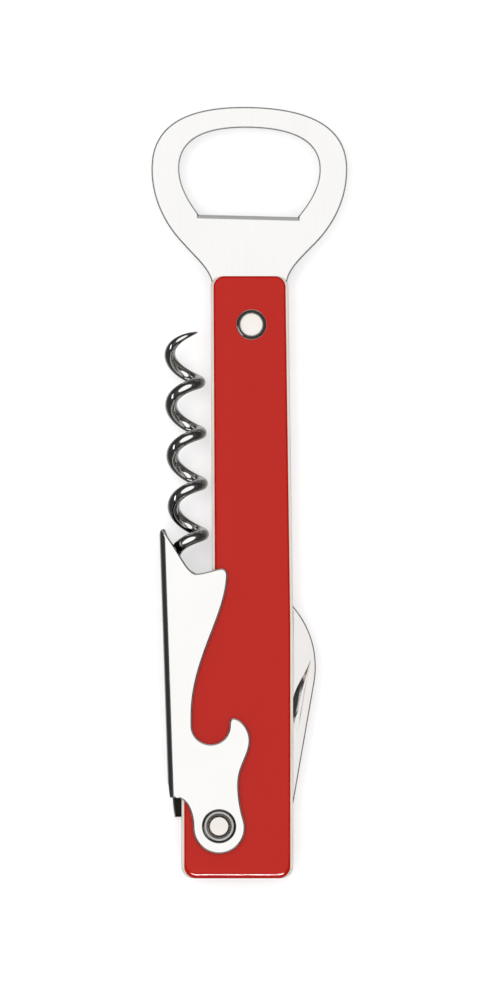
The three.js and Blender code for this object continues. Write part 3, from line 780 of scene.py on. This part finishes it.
def build_lever():
    """A flat sheet with rounded edges, cut across its folds and then folded into a channel."""
    corner_middle = Vector((LEVER_FROM_LEFT + LINER_MARGIN - FOOT_CORNER, LEVER_FROM_FOOT - FOOT_CORNER))
    corner = corner_middle.length + FOOT_CORNER + CORNER_GAP
    web = lever_left(BOSS_RADIUS) + LEVER_SHEET
    web_foot = math.sqrt(max(0, corner**2 - web**2)) + BOSS_DROP

    def side(far):
        """One flank and its half of the web's ends, from the top of the web to the foot of it."""
        line = [flat_place(p, far) for p in lever_line(far)]
        first, last = line[0], line[-1]
        top = [Vector((FAR_START + ROLL_LENGTH if far else -ROLL_LENGTH, first.y - TIP_DROP))]
        foot = []
        for k in range(1, 13):
            turn = k / 12
            rise = eased((turn - (FAR_RISE if far else NEAR_RISE)) / RISE_WIDTH)
            level = last.y + (web_foot - last.y) * rise
            u = -ROLL_LENGTH * turn
            foot.append(Vector((FAR_START - u if far else u, level)))
        reach = [Vector((FAR_START if far else 0, last.y))]
        return top + line + reach + foot

    outline = side(False) + side(True)[::-1]
    outline = spaced(distinct(outline), 1.6)
    levels = edge_levels(0, LEVER_SHEET, LEVER_EDGE, 5)
    pivot = Vector((0, BOSS_DROP))
    holes = [
        round_hole(flat_place(pivot, far), RIVET_HOLE, 0, LEVER_SHEET, 0.12, 48)
        for far in (False, True)
    ]
    bm = plate(outline, lambda i: levels, holes)
    for start in (0, FAR_START + ROLL_LENGTH):
        for k in range(FOLD_CUTS + 1):
            bmesh.ops.bisect_plane(
                bm,
                geom=[*bm.verts, *bm.edges, *bm.faces],
                dist=SHORTEST_EDGE,
                plane_co=(start - ROLL_LENGTH * k / FOLD_CUTS, 0, 0),
                plane_no=(1, 0, 0),
            )
    bmesh.ops.dissolve_degenerate(bm, dist=SHORTEST_EDGE, edges=bm.edges)
    # The faces inside the channel take the near-black steel, as painted shade where the channel is in
    # shadow
    for face in bm.faces:
        shaded_inside = max(v.co.z for v in face.verts) < LEVER_EDGE * 0.6
        if shaded_inside:
            face.material_index = 1
    for vert in bm.verts:
        vert.co = folded_place(vert.co)
    place = (LEVER_PIVOT[0], LEVER_PIVOT[1] - BOSS_DROP, MIDDLE)
    bmesh.ops.translate(bm, vec=place, verts=bm.verts)
    made = even_normals(finish_mesh("boot_lever", bm, blade_steel, 40))
    # second slot: the near-black steel that paints shade inside the channel
    made.data.materials.append(painted_shade_steel)
    return made


belongs(build_lever(), "lever_body", "blade_steel", "lever")


# ---- Worm ----

WORM_WIRE = 2.4
WORM_PITCH = 10.15
WORM_LEAN = math.radians(1.37)
WORM_START = 5.45
WORM_TIP = 60.67
WORM_AXIS_OFFSET = -1.668
COIL_RADIUS = 2.9
COIL_SLANT = 0.1
COIL_TILT = 0.39
WORM_TAPER_TURNS = 0.62
WORM_POINT_RADIUS = 0.12
EYE_RADIUS = 2.7
EYE_WIRE = 2.3
EYE_START = math.radians(-160)
TURN_STEPS = 48
LEAVE_STEPS = 12  # from the eye to the first turn


def worm_path():
    """Round the pin, out of the eye, then up the coil: left, front, right, back."""
    centres = []
    radii = []
    for k in range(TURN_STEPS + 1):
        turn = EYE_START + (math.pi - EYE_START) * k / TURN_STEPS
        centres.append(Vector((EYE_RADIUS * math.cos(turn), -EYE_RADIUS * math.sin(turn), 0)))
        radii.append(EYE_WIRE / 2)
    start = centres[-1]
    end = Vector((WORM_AXIS_OFFSET - COIL_RADIUS, WORM_START, 0))
    rise = Vector((0, 1, 0))
    step = WORM_PITCH / (2 * math.pi)
    leave = Vector((0, step, COIL_RADIUS)).normalized()
    leaving = bezier(start, start + rise * 2.2, end - leave * 1.6, end, LEAVE_STEPS)
    for k, point in enumerate(leaving[:-1], 1):
        centres.append(point)
        radii.append(EYE_WIRE / 2 + (WORM_WIRE - EYE_WIRE) / 2 * k / LEAVE_STEPS)
    turns = (WORM_TIP - WORM_START) / WORM_PITCH
    steps = math.ceil(turns * TURN_STEPS)
    for i in range(steps + 1):
        done = i / steps * turns
        turn = done * 2 * math.pi
        x = WORM_AXIS_OFFSET - COIL_RADIUS * math.cos(turn)
        z = COIL_RADIUS * math.sin(turn)
        askew = COIL_SLANT * (WORM_AXIS_OFFSET - x) + COIL_TILT * z
        centres.append(Vector((x, WORM_START + done * WORM_PITCH + askew, z)))
        left = min(1, (turns - done) / WORM_TAPER_TURNS)
        full = WORM_WIRE / 2 - WORM_POINT_RADIUS
        radii.append(WORM_POINT_RADIUS + full * math.sin(left * math.pi / 2))
    return centres, radii


def build_wire():
    bm = swept(*worm_path())
    pin = Matrix.Translation((WORM_PIN[0], WORM_PIN[1], MIDDLE))
    place = pin @ Matrix.Rotation(WORM_LEAN, 4, "Z")
    bmesh.ops.transform(bm, matrix=place, verts=bm.verts)
    return finish_mesh("worm_wire", bm, bright_steel, 60)


belongs(build_wire(), "worm_body", "bright_steel", "worm")


# ---- Knife ----

BLADE_LENGTH = 46.8
BLADE_WIDTH = 8.67
BLADE_HALF = (BLADE_HIGH[2] - BLADE_LOW[2]) / 2
BLADE_NOSE_RADIUS = 18.4
TANG_RADIUS = 4.63
KNIFE_LEAN = math.radians(9.9)
BLADE_EDGE = 0.42  # radius of the spine's edges
GROUND = ((1.9, BLADE_HALF), (1.3, 0.48), (0.6, 0.26), (0.0, 0.08))  # the cutting edge's bevel
NICK_LOW = 20.9
NICK_HIGH = 35.7
NICK_STRAIGHT = TANG_RADIUS - 1.55
NICK_BOW = NICK_STRAIGHT - 2.4
NICK_DEPTH = 0.8
NICK_SLOPE = 0.66  # share of the nick's width that its bowed wall takes
NICK_WALL = 0.22  # width of its straight wall


def blade_line():
    """The blade's outline: spine, nose, cutting edge and round tang."""
    spine = TANG_RADIUS
    edge = TANG_RADIUS - BLADE_WIDTH
    nose = spine - BLADE_NOSE_RADIUS
    turn = math.acos((edge - nose) / BLADE_NOSE_RADIUS)
    nose_y = BLADE_LENGTH - BLADE_NOSE_RADIUS * math.sin(turn)
    line = [Vector((spine, 0))]
    line += arc(Vector((nose, nose_y)), BLADE_NOSE_RADIUS, 0, turn, 48)
    line.append(Vector((edge, 1.65 * TANG_RADIUS)))
    line.append(Vector((edge + 0.75, 1.35 * TANG_RADIUS)))
    line += arc(Vector((0, 0)), TANG_RADIUS, 0.89 * math.pi, 2 * math.pi, 48)
    return spaced(distinct(line), 1.2)


def build_blade():
    line = blade_line()
    ways = inward(line)
    plain = edge_levels(-BLADE_HALF, BLADE_HALF, BLADE_EDGE, 3)
    ground = [(inset, -height) for inset, height in GROUND] + list(GROUND[::-1])

    def levels(i):
        cutting = ways[i].x > 0.5 and line[i].y > 1.62 * TANG_RADIUS and line[i].x < 3.5
        return ground if cutting else plain

    straight, bow = NICK_STRAIGHT, NICK_BOW
    nick = [Vector((straight, NICK_LOW)), Vector((straight, NICK_HIGH))]
    nick += bezier(
        nick[-1],
        Vector((straight - 0.6, NICK_HIGH - 4)),
        Vector((bow, NICK_LOW + 9)),
        Vector((bow + 0.3, NICK_LOW + 5)),
        24,
    )
    nick += bezier(
        nick[-1],
        Vector((bow + 0.6, NICK_LOW + 2.6)),
        Vector((straight - 1, NICK_LOW + 1)),
        Vector((straight, NICK_LOW)),
        16,
    )
    nick = spaced(distinct(nick), 0.7)

    def nick_levels(i):
        x, y = nick[i]
        tip = max(0.02, min(1, (NICK_HIGH - y) / 6, (y - NICK_LOW) / 3))
        if x > straight - 1e-4:
            wall = NICK_WALL * tip
        else:
            up = max(0, min(1, (y - NICK_LOW - 0.8) / 3))
            wall = 0.05 * tip + NICK_SLOPE * (straight - x) * up
        return [(wall, BLADE_HALF - NICK_DEPTH), (0, BLADE_HALF)]

    hole = round_hole((0, 0), PIN_HOLE, -BLADE_HALF, BLADE_HALF)
    bm = plate(line, levels, [hole], [(nick, nick_levels)])
    pivot = Matrix.Translation((KNIFE_PIVOT[0], KNIFE_PIVOT[1], MIDDLE))
    place = pivot @ Matrix.Rotation(-KNIFE_LEAN, 4, "Z")
    bmesh.ops.transform(bm, matrix=place, verts=bm.verts)
    return even_normals(finish_mesh("foil_knife", bm, knife_steel, 24))


belongs(build_blade(), "knife_body", "blade_steel", "knife_blade")


# ---- Rivets ----

RIVET_EDGE = 0.22  # radius of the lever rivet's rims
RIVET_CROWN = 0.01  # and how far its ends bulge
ARC_STEPS = 24
RING_CURVE = 1.25  # above 1 the rolled rings have flared feet


def build_head_rivet():
    low, high = node_box("head_rivet")
    radius = (high[0] - low[0]) / 2
    rise = high[2] - MIDDLE - SCALE_FACE
    half = [(0.0, SCALE_FACE + rise)]
    for k in range(1, ARC_STEPS + 1):
        turn = math.pi / 2 * k / ARC_STEPS
        half.append((radius * math.sin(turn), SCALE_FACE + rise * math.cos(turn)))
    shank = [(PIN_RADIUS, SCALE_FACE), (PIN_RADIUS, -SCALE_FACE)]
    profile = half + shank + [(r, -z) for r, z in half[::-1]]
    bm = turned([(r, z + MIDDLE) for r, z in profile], HEAD_RIVET)
    return finish_mesh("head_rivet_dome", bm, rivet_steel, 60)


belongs(build_head_rivet(), "handle", "bright_steel", "head_rivet")


def build_lever_rivet():
    low, high = node_box("lever_rivet")
    radius = (high[0] - low[0]) / 2
    end = high[2] - MIDDLE
    rim = end - RIVET_CROWN
    half = [(0.0, end), (0.9 * (radius - RIVET_EDGE), rim)]
    for k in range(7):
        turn = math.pi / 2 * k / 6
        inset, drop = RIVET_EDGE * (1 - math.sin(turn)), RIVET_EDGE * (1 - math.cos(turn))
        half.append((radius - inset, rim - drop))
    profile = half + [(r, -z) for r, z in half[::-1]]
    bm = turned([(r, z + MIDDLE) for r, z in profile], LEVER_PIVOT)
    return finish_mesh("lever_rivet_bar", bm, rivet_steel, 60)


belongs(build_lever_rivet(), "handle", "bright_steel", "lever_rivet")


def build_washer(name, node, side):
    """A rolled ring round the lever rivet, on the front, or on the back where side is -1."""
    low, high = node_box(node)
    outer = (high[0] - low[0]) / 2
    inner = RIVET_HOLE
    base = (low[2] if side > 0 else high[2]) - MIDDLE
    rise = high[2] - low[2]
    middle = (inner + outer) / 2
    half = (outer - inner) / 2
    profile = []
    for k in range(ARC_STEPS + 1):
        turn = math.pi * k / ARC_STEPS
        height = rise * math.sin(turn) ** RING_CURVE
        profile.append((middle + half * math.cos(turn), base + side * height))
    profile.append(profile[0])
    bm = turned([(r, z + MIDDLE) for r, z in profile], LEVER_PIVOT)
    return finish_mesh(name, bm, ring_steel, 60)


rolled_ring = build_washer("rolled_ring_front", "lever_washer_front", 1)
belongs(rolled_ring, "handle", "bright_steel", "lever_washer_front")
rolled_ring = build_washer("rolled_ring_back", "lever_washer_back", -1)
belongs(rolled_ring, "handle", "bright_steel", "lever_washer_back")


# ---- CAD nodes that stay ----

KEPT = {
    "back_spring": plate_steel,
    "shank_pin": rivet_steel,
    "spring_pin_upper": rivet_steel,
    "spring_pin_lower": rivet_steel,
    "worm_pin": rivet_steel,
    "knife_pin": rivet_steel,
    "knife_washer_front": plate_steel,
    "knife_washer_back": plate_steel,
    "lever_bush": plate_steel,
}

KEPT_EDGE = 0.12

for node, material in KEPT.items():
    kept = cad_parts[node]
    kept.data.materials.clear()
    kept.data.materials.append(material)
    edge = kept.modifiers.new("edge", "BEVEL")
    edge.width = KEPT_EDGE * MM
    edge.segments = 2
    edge.limit_method = "ANGLE"
    edge.angle_limit = math.radians(40)
    even_normals(kept)


# ---- Floor, light and camera, in metres ----

FRAME_HEIGHT = 0.2  # what the picture covers from top to bottom
FRAME_LEVEL = 0.0085  # at this height over the floor
VIEW_MIDDLE = (-0.00108, -0.0015)
LENS = 400
SENSOR = 36
PANEL_SIZE = (2.4, 0.9)
PANEL_RADIANCE = 0.42
GRIPS = ("front_grip", "back_grip")
RING = ("opener_ring",)
FLATS = ("opener_ring", "foil_knife", "boot_lever", "front_liner_plate", "back_liner_plate")
ROUNDS = ("worm_wire", "head_rivet_dome", "rolled_ring_front", "rolled_ring_back", "lever_rivet_bar")


def build_stage():
    """A round pale floor that curves up into a backdrop all round."""
    section = [(0, 0), (0.5, 0), (2.6, 0), (3.2, 0.08), (3.7, 0.3), (4.1, 0.7), (4.3, 1.4), (4.4, 3.2)]
    bm = turned(section, (0, 0), 96)
    bmesh.ops.recalc_face_normals(bm, faces=bm.faces)
    mesh = bpy.data.meshes.new("floor")
    bm.to_mesh(mesh)
    bm.free()
    mesh.shade_smooth()
    material, nodes, links, shader, place = new_material("floor_paper")
    shader.inputs["Specular IOR Level"].default_value = 0.0
    grain = noise_of(nodes, links, place, EVEN, 300, 3)
    paper = ramp_of(nodes, links, grain, [(NOISE_LOW, grey(0.49)), (NOISE_HIGH, grey(0.51))])
    links.new(paper, shader.inputs["Base Color"])
    links.new(range_of(nodes, links, grain, 0.9, 1.0), shader.inputs["Roughness"])
    shader.inputs["Emission Color"].default_value = (1, 1, 1, 1)
    shader.inputs["Emission Strength"].default_value = 0.5
    mesh.materials.append(material)
    floor = bpy.data.objects.new("floor", mesh)
    floor.visible_glossy = False  # the polished steel mirrors the dark studio, as in a light tent
    bpy.context.scene.collection.objects.link(floor)


def area_light(name, place, size, radiance, glossy=True, diffuse=True, shape="DISK", only=()):
    """A flat light aimed at the object, with the power that gives the wanted radiance.

    Where only names pieces, it lights nothing else.
    """
    light = bpy.data.lights.new(name, "AREA")
    light.shape = shape
    light.size = size[0]
    surface = size[0] * size[1]
    if shape == "DISK":
        surface *= math.pi / 4
    else:
        light.size_y = size[1]
    light.energy = radiance * math.pi * surface
    made = bpy.data.objects.new(name, light)
    made.location = place
    made.rotation_mode = "QUATERNION"
    made.rotation_quaternion = (-Vector(place)).to_track_quat("-Z", "Y")
    made.visible_camera = False
    made.visible_glossy = glossy
    made.visible_diffuse = diffuse
    if only:
        lit = bpy.data.collections.new(name + "_lights")
        for piece in only:
            lit.objects.link(bpy.data.objects[piece])
        made.light_linking.receiver_collection = lit
    bpy.context.scene.collection.objects.link(made)


def build_world():
    """Dark at the horizon, so that rounded steel edges show, and a little lighter below."""
    world = bpy.data.worlds.new("studio")
    world.use_nodes = True
    nodes = world.node_tree.nodes
    links = world.node_tree.links
    place = nodes.new("ShaderNodeTexCoord")
    parts = nodes.new("ShaderNodeSeparateXYZ")
    links.new(place.outputs["Generated"], parts.inputs["Vector"])
    level = nodes.new("ShaderNodeMapRange")
    level.inputs["From Min"].default_value = -1
    links.new(parts.outputs["Z"], level.inputs["Value"])
    stops = [(0.0, grey(0.5)), (0.12, grey(0.35)), (0.3, grey(0.04)), (0.7, grey(0.03)), (1.0, grey(0.1))]
    colour = ramp_of(nodes, links, level.outputs["Result"], stops)
    links.new(colour, nodes["Background"].inputs["Color"])
    bpy.context.scene.world = world


def build_light():
    """A broad light from above, panels for the flat steel, and strips for the round steel and the grips."""
    area_light("overhead", (0, 0.05, 1.5), (2.2, 2.2), 1.0)
    area_light("fill", (0, 0, 1.62), (2.8, 2.8), 1.6, glossy=False)
    area_light("key", (-0.35, 0.2, 1.3), (0.4, 0.4), 7.0, glossy=False)
    glints = (
        ("panel_far", (0, 1.3, 0.75), PANEL_SIZE, PANEL_RADIANCE, FLATS),
        ("panel_near", (0, -1.3, 0.75), PANEL_SIZE, PANEL_RADIANCE, FLATS),
        ("panel_left", (-1.3, 0, 0.75), PANEL_SIZE, PANEL_RADIANCE, RING),
        ("panel_right", (1.3, 0, 0.75), PANEL_SIZE, PANEL_RADIANCE, RING),
        ("round_strip", (-1.0, -0.55, 0.45), (0.9, 0.16), 1.8, ROUNDS),
        ("low_strip", (0, -1.2, 0.17), (1.3, 0.085), 190, GRIPS),
    )
    for name, place, size, radiance, only in glints:
        area_light(name, place, size, radiance, diffuse=False, shape="RECTANGLE", only=only)


def build_camera():
    """Straight above the object, as in the photo."""
    camera = bpy.data.cameras.new("camera")
    camera.type = "PERSP"
    camera.lens = LENS
    camera.sensor_width = SENSOR
    camera.clip_start = 0.05
    camera.clip_end = 20
    made = bpy.data.objects.new("camera", camera)
    height = FRAME_HEIGHT * LENS / SENSOR + FRAME_LEVEL
    made.location = (*VIEW_MIDDLE, height)
    bpy.context.scene.collection.objects.link(made)
    bpy.context.scene.camera = made


build_stage()
build_world()
build_light()
build_camera()
bpy.context.scene.view_settings.view_transform = "Standard"
